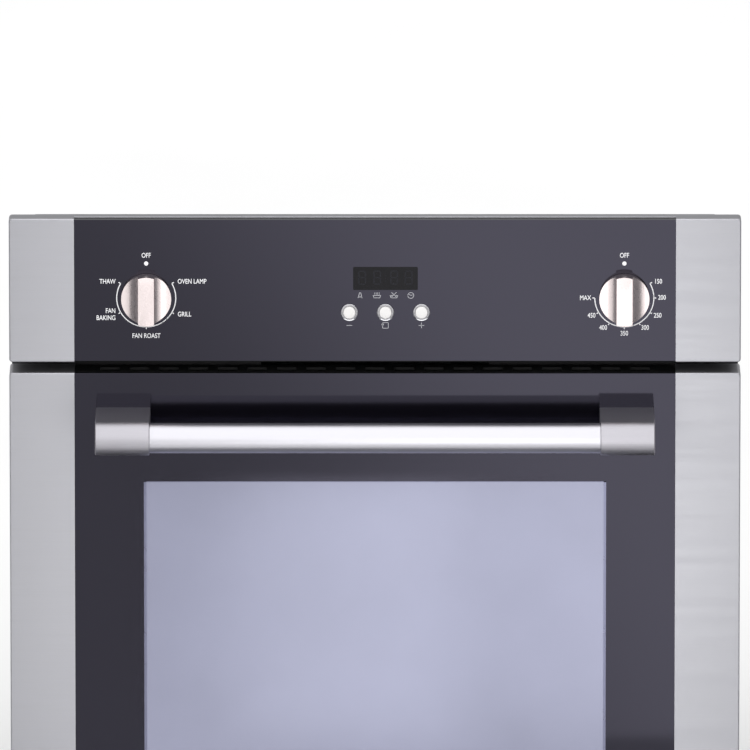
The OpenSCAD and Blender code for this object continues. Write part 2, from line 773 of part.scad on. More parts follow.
module handle_ends() {
  x0 = handle_l / 2 - end_w;
  color("#a3a0a6") both() difference() {
    union() {
      rod_x(x0, handle_l / 2, -handle_out, handle_z, end_r);
      box([x0, -handle_out, handle_z - end_r], [handle_l / 2, 0, handle_z + end_r]);
    }
    rod_x(x0 - 1, handle_l / 2 - 12, -handle_out, handle_z, handle_d / 2);
    rod_y(screw_x, -20, 1, handle_z, 2.5);
  }
}

module handle_screws() {
  color("silver") both() {
    rod_y(screw_x, -18, glass_t + e, handle_z, 2.5);
    rod_y(screw_x, glass_t, glass_t + 3.5, handle_z, 4.5);
  }
}

seat() casing_base();
seat() casing_left_side();
seat() casing_right_side();
seat() casing_top_cover();
seat() casing_back_panel();
seat() casing_screws();
seat() front_frame();
seat() cavity_liner();
seat() cavity_insulation();
seat() cavity_top_deck();
seat() fan_cover();
seat() ring_element();
seat() broil_element();
seat() bake_element();
seat() lamp_holder();
seat() lamp_bulb();
seat() lamp_lens();
seat() rack_ladders();
seat() door_gasket();
seat() convection_motor();
seat() convection_fan();
seat() blower_housing();
seat() blower_motor();
seat() blower_wheel();
seat() vent_grille();
seat() panel_carrier();
seat() panel_glass();
seat() panel_side_strips();
seat() panel_top_trim();
seat() selector_switch();
seat() thermostat();
seat() thermostat_bulb();
seat() timer_module();
seat() timer_display();
seat() button_bezels();
seat() button_minus();
seat() button_menu();
seat() button_plus();
seat() function_knob();
seat() function_spindle();
seat() temperature_knob();
seat() temperature_spindle();
seat() terminal_block();
seat() cable_gland();
seat() hinge_receivers();
seat() hinge_arms();
seat() wire_rack();
seat() baking_tray();
seat() door_outer_glass();
seat() door_side_strips();
seat() door_rails();
seat() door_side_channels();
seat() door_middle_glass();
seat() door_inner_glass();
seat() handle_bar();
seat() handle_ends();
seat() handle_screws();
seat() hinge_cases();
seat() hinge_pins();
seat() hinge_springs();
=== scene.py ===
"""Looks of a built-in wall oven: panel, knobs, clock, buttons, door, handle and stage."""
import json
import math

import bmesh
import bpy
from bpy.props import FloatProperty, FloatVectorProperty, PointerProperty
from mathutils import Matrix, Vector


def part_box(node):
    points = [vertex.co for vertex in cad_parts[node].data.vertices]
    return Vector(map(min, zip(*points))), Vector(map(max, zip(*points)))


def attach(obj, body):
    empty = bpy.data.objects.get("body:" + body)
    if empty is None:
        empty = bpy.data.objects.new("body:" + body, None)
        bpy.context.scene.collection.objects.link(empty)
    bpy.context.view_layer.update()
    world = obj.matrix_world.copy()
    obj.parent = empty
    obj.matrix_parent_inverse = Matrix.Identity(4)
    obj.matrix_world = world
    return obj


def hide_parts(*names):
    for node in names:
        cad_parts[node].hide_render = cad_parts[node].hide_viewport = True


bl_info = {
    "name": "Wall Oven",
    "version": (1, 0, 0),
    "blender": (4, 5, 0),
    "location": "View3D > Sidebar > Wall Oven",
    "description": "Builds the looks of a built-in wall oven around its frame",
    "category": "Object",
}

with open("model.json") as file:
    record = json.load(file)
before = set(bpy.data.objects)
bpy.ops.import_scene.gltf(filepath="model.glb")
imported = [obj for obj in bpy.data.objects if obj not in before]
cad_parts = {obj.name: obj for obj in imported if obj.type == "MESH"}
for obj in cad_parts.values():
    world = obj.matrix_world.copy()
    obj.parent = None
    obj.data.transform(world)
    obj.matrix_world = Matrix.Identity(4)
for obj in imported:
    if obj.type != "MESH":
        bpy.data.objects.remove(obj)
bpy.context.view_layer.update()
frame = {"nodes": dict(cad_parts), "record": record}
MM = 0.001
# Faces larger than this many square metres are shaded flat.
FLAT_AREA = 0.00006
# Thickness of a printed sign, and of the strips' sheet steel.
INK = 0.00006
SHEET = 0.0009
# Heights above a knob's axis of the dot and of the word for its rest position.
DOT_UP = 28.6 * MM
OFF_UP = 35.2 * MM
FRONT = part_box("panel_glass")[0].y
PANEL_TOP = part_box("panel_side_strips")[1].z
DOOR_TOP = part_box("door_side_strips")[1].z
HALF_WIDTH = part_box("door_side_strips")[1].x


def middle(node):
    """The centre of a CAD node's box."""
    low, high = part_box(node)
    return (low + high) / 2


def srgb(code):
    """A hex colour such as "c8c8cc" as linear red, green, blue and alpha."""
    parts = [int(code[i:i + 2], 16) / 255 for i in (0, 2, 4)]
    linear = [p / 12.92 if p <= 0.04045 else ((p + 0.055) / 1.055) ** 2.4 for p in parts]
    return (*linear, 1.0)


def sizes():
    """The sizes set in the scene."""
    return bpy.context.scene.oven_sizes


def colours():
    """The colours set in the scene."""
    return bpy.context.scene.oven_colours


class OvenSizes(bpy.types.PropertyGroup):
    """Sizes of the pieces that are modelled here."""
    strip_width: FloatProperty(name="Strip width", description="Width of the steel strips",
                               default=0.053, unit="LENGTH")
    edge: FloatProperty(name="Edge", description="Rounding of the steel strips' folded edges",
                        default=0.0011, unit="LENGTH")
    corner: FloatProperty(name="Corner", description="Rounding of the steel strips' outer corners",
                          default=0.0026, unit="LENGTH")
    ring: FloatProperty(name="Ring", description="Radius of the printed ring round a knob",
                        default=0.0240, unit="LENGTH")
    line: FloatProperty(name="Line", description="Width of a printed line",
                        default=0.0008, unit="LENGTH")
    letters: FloatProperty(name="Letters", description="Height of the printed letters",
                           default=0.0040, unit="LENGTH")
    window_width: FloatProperty(name="Window width", description="Width of the door's window",
                                default=0.3765, unit="LENGTH")
    window_drop: FloatProperty(name="Window drop", description="Top of the window below the door's top",
                               default=0.0906, unit="LENGTH")
    window_height: FloatProperty(name="Window height", description="Height of the door's window",
                                 default=0.265, unit="LENGTH")
    grip: FloatProperty(name="Grip", description="Width of a knob's grip bar",
                        default=0.0128, unit="LENGTH")


class OvenColours(bpy.types.PropertyGroup):
    """Colours of the main finishes."""
    steel: FloatVectorProperty(name="Steel", description="Brushed steel of the strips",
                               subtype="COLOR", size=4, default=srgb("bababf"))
    glass: FloatVectorProperty(name="Glass", description="Back-printed front glass",
                               subtype="COLOR", size=4, default=srgb("08070b"))
    window: FloatVectorProperty(name="Window", description="Mirror coating of the window",
                                subtype="COLOR", size=4, default=srgb("9193a8"))
    print_white: FloatVectorProperty(name="Print", description="White of the printed signs",
                                     subtype="COLOR", size=4, default=srgb("f2f2f4"))


# ---- Materials ----

def add_node(tree, kind, links=None, **settings):
    """Adds a node, sets its values and joins its inputs. links maps an input to a socket or a value."""
    made = tree.nodes.new(kind)
    for name, value in settings.items():
        setattr(made, name, value)
    for name, value in (links or {}).items():
        if isinstance(value, bpy.types.NodeSocket):
            tree.links.new(value, made.inputs[name])
        else:
            made.inputs[name].default_value = value
    return made


def material(name, colour, roughness, metallic=0.0, **more):
    """A material with its constant values on the shader's own sockets."""
    made = bpy.data.materials.get(name) or bpy.data.materials.new(name)
    made.use_nodes = True
    made.diffuse_color = colour
    shader = made.node_tree.nodes["Principled BSDF"]
    values = {"Base Color": colour, "Roughness": roughness, "Metallic": metallic}
    values.update({key.replace("_", " ").title(): value for key, value in more.items()})
    for key, value in values.items():
        socket = "IOR" if key == "Ior" else key
        shader.inputs[socket].default_value = value
    return made, made.node_tree, shader


def place(tree, scale):
    """Object coordinates stretched by scale, in patterns per metre."""
    where = add_node(tree, "ShaderNodeTexCoord")
    return add_node(tree, "ShaderNodeMapping", {"Vector": where.outputs["Object"], "Scale": scale})


def ramp(tree, value, low, high, start=0.3, end=0.7):
    """A two-stop colour ramp over a value."""
    made = add_node(tree, "ShaderNodeValToRGB", {"Fac": value})
    made.color_ramp.elements[0].position = start
    made.color_ramp.elements[0].color = low
    made.color_ramp.elements[1].position = end
    made.color_ramp.elements[1].color = high
    return made.outputs["Color"]


def grey(value):
    """A neutral colour."""
    return (value, value, value, 1.0)


def scaled(colour, factor):
    """A colour made lighter or darker."""
    return (*[min(1.0, c * factor) for c in colour[:3]], 1.0)


def speckle(name, colour, roughness, grain, change=0.06, bump=0.02, metallic=0.0, **more):
    """A fine-grained finish: colour, roughness and height vary over grains of the given size in metres."""
    made, tree, shader = material(name, colour, roughness, metallic, **more)
    where = place(tree, (1 / grain,) * 3)
    noise = add_node(tree, "ShaderNodeTexNoise", {"Vector": where.outputs[0], "Scale": 1.0, "Detail": 3.0})
    tint = ramp(tree, noise.outputs["Fac"], scaled(colour, 1 - change), scaled(colour, 1 + change))
    tree.links.new(tint, shader.inputs["Base Color"])
    rough = ramp(tree, noise.outputs["Fac"], grey(roughness * 0.88), grey(min(1, roughness * 1.12)))
    tree.links.new(rough, shader.inputs["Roughness"])
    relief = add_node(tree, "ShaderNodeBump", {"Height": noise.outputs["Fac"], "Strength": bump,
                                               "Distance": grain})
    tree.links.new(relief.outputs["Normal"], shader.inputs["Normal"])
    return made


def brushed(name, colour, roughness, along="X", change=0.05):
    """Metal brushed along one axis. The hairlines are about 0.9 mm apart, so that they show."""
    made, tree, shader = material(name, colour, roughness, 1.0)
    across, run = 1100.0, 22.0
    scale = {"X": (run, across, across), "Y": (across, run, across), "Z": (across, across, run)}[along]
    lines = add_node(tree, "ShaderNodeTexNoise",
                     {"Vector": place(tree, scale).outputs[0], "Scale": 1.0, "Detail": 4.0})
    wide = add_node(tree, "ShaderNodeTexNoise",
                    {"Vector": place(tree, tuple(s / 9 for s in scale)).outputs[0], "Scale": 1.0})
    both = add_node(tree, "ShaderNodeMath", {0: lines.outputs["Fac"], 1: wide.outputs["Fac"]},
                    operation="ADD")
    half = add_node(tree, "ShaderNodeMath", {0: both.outputs[0], 1: 0.5}, operation="MULTIPLY")
    tint = ramp(tree, half.outputs[0], scaled(colour, 1 - change), scaled(colour, 1 + change))
    tree.links.new(tint, shader.inputs["Base Color"])
    rough = ramp(tree, half.outputs[0], grey(roughness * 0.8), grey(roughness * 1.2))
    tree.links.new(rough, shader.inputs["Roughness"])
    relief = add_node(tree, "ShaderNodeBump", {"Height": lines.outputs["Fac"], "Strength": 0.05,
                                               "Distance": 0.0002})
    tree.links.new(relief.outputs["Normal"], shader.inputs["Normal"])
    return made


def strip_steel():
    """Stainless steel sheet, brushed sideways: soft, stretched reflections."""
    return brushed("stainless_brushed_sideways", tuple(colours().steel), 0.46)


def front_glass():
    """Soda-lime glass printed black on its back: deep, glossy, slightly violet."""
    return speckle("glass_back_printed_black", tuple(colours().glass), 0.06, 0.15, 0.03, 0.0,
                   ior=1.52, specular_tint=srgb("e6e2ff"))


def window_coating():
    """Glass with a thin metal coating, which mirrors the room with a lavender tint."""
    return speckle("glass_mirror_coated", tuple(colours().window), 0.14, 0.12, 0.05, 0.0, 0.3)


def window_edge_painted_shade():
    """Painted shade: a grey metal strip along the window's edges that stands in for the shadow of the glass's
    thickness.
    """
    return speckle("window_edge_painted_shade_grey", srgb("77788c"), 0.3, 0.01, 0.05, 0.0, 1.0)


def white_print():
    """Fired ceramic ink: matt white."""
    return speckle("ceramic_ink_white", tuple(colours().print_white), 0.6, 0.002, 0.03, 0.0)


def thin_print():
    """Fired ceramic ink in a thin coat: greyish white."""
    return speckle("ceramic_ink_thin", srgb("b2b2b7"), 0.6, 0.002, 0.03, 0.0)


def dim_print():
    """Unlit display segments: a shade lighter than the dark window."""
    return speckle("segment_unlit", srgb("26262b"), 0.5, 0.002, 0.05, 0.0, ior=1.2)


def knob_metal():
    """Zinc casting with a satin nickel plating, slightly warm."""
    return speckle("satin_nickel_plated", srgb("e4d8d7"), 0.3, 0.0012, 0.015, 0.004, 1.0)


def bar_metal():
    """Aluminium tube, polished and clear anodised."""
    return brushed("aluminium_polished_anodised", srgb("c8c7cd"), 0.34, "X", 0.015)


def bracket_metal():
    """Zinc casting, satin grey."""
    return speckle("satin_zinc_grey", srgb("b0aeb4"), 0.4, 0.0015, 0.015, 0.005, 1.0)


def chrome():
    """Bright chrome plating."""
    return speckle("chrome_plated", srgb("dcdce0"), 0.1, 0.01, 0.02, 0.0, 1.0)


def cap_plastic():
    """ABS moulding, satin white."""
    return speckle("abs_satin_white", srgb("e3e1e0"), 0.4, 0.001, 0.015, 0.02)


def display_plastic():
    """Smoked acrylic window of the clock."""
    return speckle("smoked_acrylic", srgb("0c0b10"), 0.2, 0.01, 0.05, 0.0, ior=1.25)


def galvanised():
    """Hot-dip galvanised sheet: grey with large, soft crystals."""
    made, tree, shader = material("steel_galvanised", srgb("a8abae"), 0.42, 1.0)
    cells = add_node(tree, "ShaderNodeTexVoronoi",
                     {"Vector": place(tree, (110, 110, 110)).outputs[0], "Scale": 1.0})
    tint = ramp(tree, cells.outputs["Color"], srgb("9da0a4"), srgb("b9bcbf"), 0.1, 0.9)
    tree.links.new(tint, shader.inputs["Base Color"])
    rough = ramp(tree, cells.outputs["Color"], grey(0.34), grey(0.52), 0.1, 0.9)
    tree.links.new(rough, shader.inputs["Roughness"])
    return made


def oven_enamel():
    """Vitreous enamel: glossy charcoal with fine pale flecks."""
    made, tree, shader = material("vitreous_enamel", srgb("2a2b31"), 0.22)
    noise = add_node(tree, "ShaderNodeTexNoise",
                     {"Vector": place(tree, (420, 420, 420)).outputs[0], "Scale": 1.0, "Detail": 2.0})
    tint = ramp(tree, noise.outputs["Fac"], srgb("26272d"), srgb("9aa0aa"), 0.66, 0.74)
    tree.links.new(tint, shader.inputs["Base Color"])
    return made


def clear_glass(name="tempered_glass_clear", tint="dfe9e8"):
    """Clear tempered glass."""
    made, _, shader = material(name, srgb(tint), 0.03, ior=1.5)
    shader.inputs["Transmission Weight"].default_value = 1.0
    return made


def wool():
    """Yellow mineral wool: matt and fibrous."""
    return speckle("mineral_wool", srgb("b9a764"), 0.95, 0.006, 0.25, 0.5)


FINISHES = {
    "galvanised": galvanised,
    "frame_steel": lambda: speckle("black_painted_steel", srgb("252428"), 0.5, 0.003, 0.1, 0.05),
    "enamel": oven_enamel,
    "insulation": wool,
    "heater": lambda: speckle("incoloy_sheath_dark", srgb("4a4440"), 0.5, 0.004, 0.15, 0.05, 1.0),
    "ceramic": lambda: speckle("steatite_ceramic", srgb("e6e3da"), 0.4, 0.003, 0.04, 0.03),
    "lamp_glass": lambda: clear_glass("borosilicate_glass", "f2f2ee"),
    "chrome_wire": chrome,
    "gasket": lambda: speckle("glass_fibre_cord_black", srgb("222224"), 0.85, 0.0015, 0.3, 0.4),
    "motor": lambda: speckle("motor_steel", srgb("6a6b6e"), 0.45, 0.003, 0.1, 0.03, 1.0),
    "fan_metal": lambda: brushed("aluminium_rolled", srgb("b9babd"), 0.35, "X", 0.05),
    "black_plastic": lambda: speckle("pbt_black", srgb("131315"), 0.55, 0.0012, 0.15, 0.06),
    "panel_black_glass": front_glass,
    "brushed_strip": strip_steel,
    "switch_body": lambda: speckle("phenolic_brown", srgb("3b2a20"), 0.5, 0.002, 0.12, 0.03),
    "copper": lambda: speckle("copper_tube", srgb("b87450"), 0.3, 0.004, 0.08, 0.02, 1.0),
    "board": lambda: speckle("circuit_board_green", srgb("1d4a2c"), 0.4, 0.003, 0.15, 0.02),
    "display": display_plastic,
    "bezel_chrome": chrome,
    "button_white": cap_plastic,
    "knob_satin": knob_metal,
    "steel": lambda: speckle("zinc_plated_steel", srgb("a5a7aa"), 0.35, 0.004, 0.08, 0.02, 1.0),
    "clear_glass": clear_glass,
    "handle_polished": bar_metal,
    "handle_bracket": bracket_metal,
}


# ---- Mesh helpers ----

def add_object(name, data):
    """A new object in the scene."""
    made = bpy.data.objects.new(name, data)
    bpy.context.scene.collection.objects.link(made)
    return made


def to_mesh(name, bm):
    """Turns a bmesh into a mesh and frees it."""
    mesh = bpy.data.meshes.new(name)
    bm.to_mesh(mesh)
    bm.free()
    return mesh


def push_out(bm, faces, way):
    """Makes a solid by pushing faces along a vector."""
    made = bmesh.ops.extrude_face_region(bm, geom=faces)["geom"]
    verts = [v for v in made if isinstance(v, bmesh.types.BMVert)]
    bmesh.ops.translate(bm, vec=way, verts=verts)


def finish_piece(name, bm, finish, body, replaces=(), sharp=35.0):
    """Turns a bmesh into a piece that rides on a body, with smooth shading between sharp edges."""
    bmesh.ops.remove_doubles(bm, verts=bm.verts, dist=1e-7)
    bmesh.ops.recalc_face_normals(bm, faces=bm.faces)
    mesh = to_mesh(name, bm)
    mesh.set_sharp_from_angle(angle=math.radians(sharp))
    for polygon in mesh.polygons:
        polygon.use_smooth = polygon.area < FLAT_AREA
    made = add_object(name, mesh)
    mesh.materials.append(finish)
    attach(made, body)
    if replaces:
        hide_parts(*replaces)
    return made


def add_box(bm, low, high):
    """A box between two corners. Returns its vertices."""
    low, high = Vector(low), Vector(high)
    made = bmesh.ops.create_cube(bm, size=1)["verts"]
    bmesh.ops.scale(bm, vec=high - low, verts=made)
    bmesh.ops.translate(bm, vec=(low + high) / 2, verts=made)
    return made


def edges_of(verts, test=lambda edge: True):
    """The edges between vertices that pass a test."""
    chosen = set(verts)
    found = {e for v in verts for e in v.link_edges if all(w in chosen for w in e.verts)}
    return [e for e in found if test(e)]


def bevel(bm, edges, width, segments=3):
    """Rounds edges."""
    bmesh.ops.bevel(bm, geom=edges, offset=width, offset_type="OFFSET", segments=segments,
                    profile=0.5, affect="EDGES", material=-1, clamp_overlap=True)


def along(axis):
    """A test for edges that run along one axis."""
    def test(edge):
        way = (edge.verts[1].co - edge.verts[0].co).normalized()
        return abs(way[axis]) > 0.99
    return test


def lathe(bm, profile, centre, steps=96):
    """Spins a profile of (radius, distance in front of centre) about the Y axis through centre."""
    verts = [bm.verts.new((centre[0] + r, centre[1] - out, centre[2])) for r, out in profile]
    edges = [bm.edges.new(pair) for pair in zip(verts, verts[1:])]
    bmesh.ops.spin(bm, geom=verts + edges, cent=centre, axis=(0, 1, 0), angle=math.tau,
                   steps=steps, use_merge=True, use_duplicate=False)
    bmesh.ops.remove_doubles(bm, verts=bm.verts, dist=1e-6)


def add_plate(bm, outline, y_front, y_back):
    """A flat plate with a straight outline of (x, z) points, between two depths."""
    face = bm.faces.new([bm.verts.new((x, y_front, z)) for x, z in outline])
    push_out(bm, [face], (0, y_back - y_front, 0))


def add_bar(bm, start, end, width):
    """A printed straight line from start to end, both (x, z), on the front glass."""
    a, b = Vector(start), Vector(end)
    side = (b - a).normalized().orthogonal() * width / 2
    corners = [a + side, b + side, b - side, a - side]
    add_plate(bm, [(c.x, c.y) for c in corners], FRONT - INK, FRONT)


def add_arc(bm, centre, radius, width, start, end, steps=72):
    """A printed arc round centre (x, z), with angles clockwise from the top in degrees."""
    def point(r, angle):
        a = math.radians(angle)
        return (centre[0] + r * math.sin(a), centre[1] + r * math.cos(a))
    angles = [start + (end - start) * i / steps for i in range(steps + 1)]
    for a, b in zip(angles, angles[1:]):
        quad = [point(radius - width / 2, a), point(radius + width / 2, a),
                point(radius + width / 2, b), point(radius - width / 2, b)]
        add_plate(bm, quad, FRONT - INK, FRONT)


def add_dot(bm, centre, radius):
    """A printed dot at (x, z)."""
    steps = 24
    outline = [(centre[0] + radius * math.cos(math.tau * i / steps),
                centre[1] + radius * math.sin(math.tau * i / steps)) for i in range(steps)]
    add_plate(bm, outline, FRONT - INK, FRONT)


def add_words(bm, words, spot, height, align="CENTER"):
    """Printed letters at (x, z), standing on the front glass."""
    curve = bpy.data.curves.new("words", "FONT")
    curve.body = words
    curve.size = height * 1.38
    curve.align_x = align
    curve.align_y = "CENTER"
    curve.space_line = 0.9
    curve.extrude = INK / 2
    curve.offset = height * 0.012
    made = add_object("words", curve)
    bpy.context.view_layer.update()
    shape = made.evaluated_get(bpy.context.evaluated_depsgraph_get())
    mesh = bpy.data.meshes.new_from_object(shape)
    turn = Matrix.Rotation(math.pi / 2, 4, "X")
    narrow = Matrix.Diagonal((0.78, 1.0, 1.0, 1.0))
    mesh.transform(Matrix.Translation((spot[0], FRONT - INK / 2, spot[1])) @ turn @ narrow)
    bm.from_mesh(mesh)
    bpy.data.objects.remove(made)
    bpy.data.meshes.remove(mesh)


# ---- Pieces ----

class OVEN_OT_finishes(bpy.types.Operator):
    """Gives every carried-over part of the frame its finish"""
    bl_idname = "oven.finishes"
    bl_label = "Frame finishes"

    def execute(self, context):
        slots = {s["node"]: s["material_slot"] for s in frame["record"]["subparts"]}
        made = {name: build() for name, build in FINISHES.items()}
        for name, part in frame["nodes"].items():
            part.data.materials.clear()
            part.data.materials.append(made[slots[name]])
        return {"FINISHED"}


def strip_piece(name, node, sign, body):
    """A folded steel strip with rounded corners, on the right (1) or left (-1)."""
    low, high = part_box(node)
    width = sizes().strip_width
    bm = bmesh.new()
    x_in, x_out = sign * (HALF_WIDTH - width), sign * HALF_WIDTH
    add_box(bm, (min(x_in, x_out), low.y, low.z), (max(x_in, x_out), high.y, high.z))
    open_sides = [f for f in bm.faces if f.normal.y > 0.9 or f.normal.x * sign < -0.9]
    bmesh.ops.delete(bm, geom=open_sides, context="FACES_ONLY")
    outer = [e for e in bm.edges if all(abs(v.co.x - x_out) < 1e-6 for v in e.verts)]
    corners = [e for e in outer if abs(e.verts[0].co.y - e.verts[1].co.y) > MM]
    bevel(bm, corners, sizes().corner, 5)
    rim = [e for e in bm.edges if all(v.co.y < low.y + 1e-6 for v in e.verts)
           and len(e.link_faces) == 2]
    bevel(bm, rim, sizes().edge, 4)
    foot = [f for f in bm.faces if abs(f.normal.z) > 0.9 and f.calc_center_median().z < low.z + MM]
    bmesh.ops.delete(bm, geom=foot, context="FACES_ONLY")
    bmesh.ops.solidify(bm, geom=list(bm.faces), thickness=SHEET)
    return finish_piece(name, bm, strip_steel(), body)


class OVEN_OT_strips(bpy.types.Operator):
    """Steel strips on both sides of the panel and the door"""
    bl_idname = "oven.strips"
    bl_label = "Steel strips"

    def execute(self, context):
        for node, body in (("panel_side_strips", "chassis"), ("door_side_strips", "door")):
            for sign, side in ((-1, "left"), (1, "right")):
                made = strip_piece(f"{node[:-7]}_strip_{side}", node, sign, body)
            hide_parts(node)
        return {"FINISHED"}


class OVEN_OT_top_trim(bpy.types.Operator):
    """Thin steel edge along the top of the panel, behind its glass"""
    bl_idname = "oven.top_trim"
    bl_label = "Top trim"

    def execute(self, context):
        low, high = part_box("panel_top_trim")
        bm = bmesh.new()
        side = HALF_WIDTH - sizes().strip_width
        recess = 8.5 * MM
        rounding = 0.25 * MM
        plate = add_box(bm, (-side, low.y + recess, low.z), (side, high.y, high.z))
        front = [e for e in edges_of(plate, along(0)) if e.verts[0].co.y < low.y + recess + 0.5 * MM
                 and e.verts[0].co.z > high.z - 0.1 * MM]
        bevel(bm, front, rounding, 2)
        finish_piece("top_trim_plate", bm, strip_steel(), "chassis",
                     ("panel_top_trim",))
        return {"FINISHED"}


class OVEN_OT_knobs(bpy.types.Operator):
    """Two knobs with a round base and a grip bar with hollowed flanks"""
    bl_idname = "oven.knobs"
    bl_label = "Knobs"

    def execute(self, context):
        for node, body in (("function_knob", "function_control"),
                           ("temperature_knob", "temperature_control")):
            self.build(node, body)
        return {"FINISHED"}

    def build(self, node, body):
        """A round body with both flanks of its grip bar carved away."""
        low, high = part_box(node)
        centre = (low + high) / 2
        depth = high.y - low.y
        knob = self.turned(node, centre, high, (high.x - low.x) / 2, depth)
        for sign in (-1, 1):
            self.carve(knob, centre, high, depth, sign)
        bm = bmesh.new()
        bm.from_mesh(knob.data)
        bpy.data.objects.remove(knob)
        finish_piece(node.replace("_knob", "_grip"), bm, knob_metal(), body, (node,), 28.0)

    def turned(self, node, centre, high, radius, depth):
        """The round body, slightly narrower at its rounded front."""
        bm = bmesh.new()
        rounding = 0.4 * MM
        foot = 0.3 * MM
        narrow = radius - 0.1 * MM
        profile = [(0, 0), (radius - foot, 0), (radius, foot), (narrow, depth - rounding)]
        for a in [math.radians(turn) for turn in (30, 60, 90)]:
            profile.append((narrow - rounding * (1 - math.cos(a)), depth - rounding + rounding * math.sin(a)))
        profile += [(0, depth)]
        lathe(bm, profile, (centre.x, high.y, centre.z), 128)
        bmesh.ops.recalc_face_normals(bm, faces=bm.faces)
        return add_object(node + "_round", to_mesh(node + "_round", bm))

    def carve(self, knob, centre, high, depth, sign):
        """Cuts the hollow on the right (1) or left (-1) of the grip bar."""
        base = 5.2 * MM
        rise = 3.4 * MM
        run = 11.6 * MM
        fall = 2.6
        steps = 28
        reach = 30 * MM
        ahead = high.y - depth - 5 * MM
        start = centre.x + sign * sizes().grip / 2
        foot = start + sign * 0.5 * MM
        outline = [(start, ahead), (start, high.y - depth)]
        outline += [(foot + sign * run * i / steps, high.y - base - rise * (1 - i / steps) ** fall)
                    for i in range(steps + 1)]
        outline += [(start + sign * reach, high.y - base), (start + sign * reach, ahead)]
        cut = bmesh.new()
        face = cut.faces.new([cut.verts.new((x, y, centre.z - reach)) for x, y in outline])
        push_out(cut, [face], (0, 0, 2 * reach))
        bmesh.ops.recalc_face_normals(cut, faces=cut.faces)
        cutter = add_object("cut", to_mesh("cut", cut))
        carve = knob.modifiers.new("carve", "BOOLEAN")
        carve.operation = "DIFFERENCE"
        carve.object = cutter
        carve.solver = "EXACT"
        bpy.context.view_layer.update()
        shape = knob.evaluated_get(bpy.context.evaluated_depsgraph_get())
        carved = bpy.data.meshes.new_from_object(shape)
        knob.modifiers.clear()
        knob.data = carved
        bpy.data.objects.remove(cutter)


class OVEN_OT_buttons(bpy.types.Operator):
    """Three push buttons with chrome bezels"""
    bl_idname = "oven.buttons"
    bl_label = "Push buttons"

    def execute(self, context):
        bm = bmesh.new()
        steps = 64
        back, stem_back = -4 * MM, -8 * MM
        stem, neck = 2.5 * MM, 5.9 * MM
        shoulder = 0.7 * MM
        for node in ("button_minus", "button_menu", "button_plus"):
            low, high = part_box(node)
            centre = (low + high) / 2
            r_cap = (high.x - low.x) / 2
            r_in, r_out = r_cap + 0.25 * MM, 7.05 * MM
            ring = [(r_in, back), (r_in, 0.1 * MM), (6.6 * MM, 1.15 * MM), (6.8 * MM, 1.25 * MM),
                    (6.95 * MM, 1.15 * MM), (r_out, 0.9 * MM), (r_out, 0), (neck, 0), (neck, back),
                    (r_in, back)]
            lathe(bm, ring, (centre.x, FRONT, centre.z), steps)
            cap = bmesh.new()
            out = FRONT - low.y
            dome = [(0, stem_back), (stem, stem_back), (stem, back), (r_cap, back), (r_cap, out - shoulder)]
            dome += [(r_cap - 0.35 * MM * (1 - math.cos(a)), out - shoulder + 0.4 * MM * math.sin(a))
                     for a in (0.5, 1.0, 1.4)]
            dome += [(stem, out - 0.2 * MM), (0, out)]
            lathe(cap, dome, (centre.x, FRONT, centre.z), steps)
            finish_piece(node + "_cap", cap, cap_plastic(), node, (node,))
        finish_piece("bezel_rings", bm, chrome(), "chassis", ("button_bezels",))
        return {"FINISHED"}


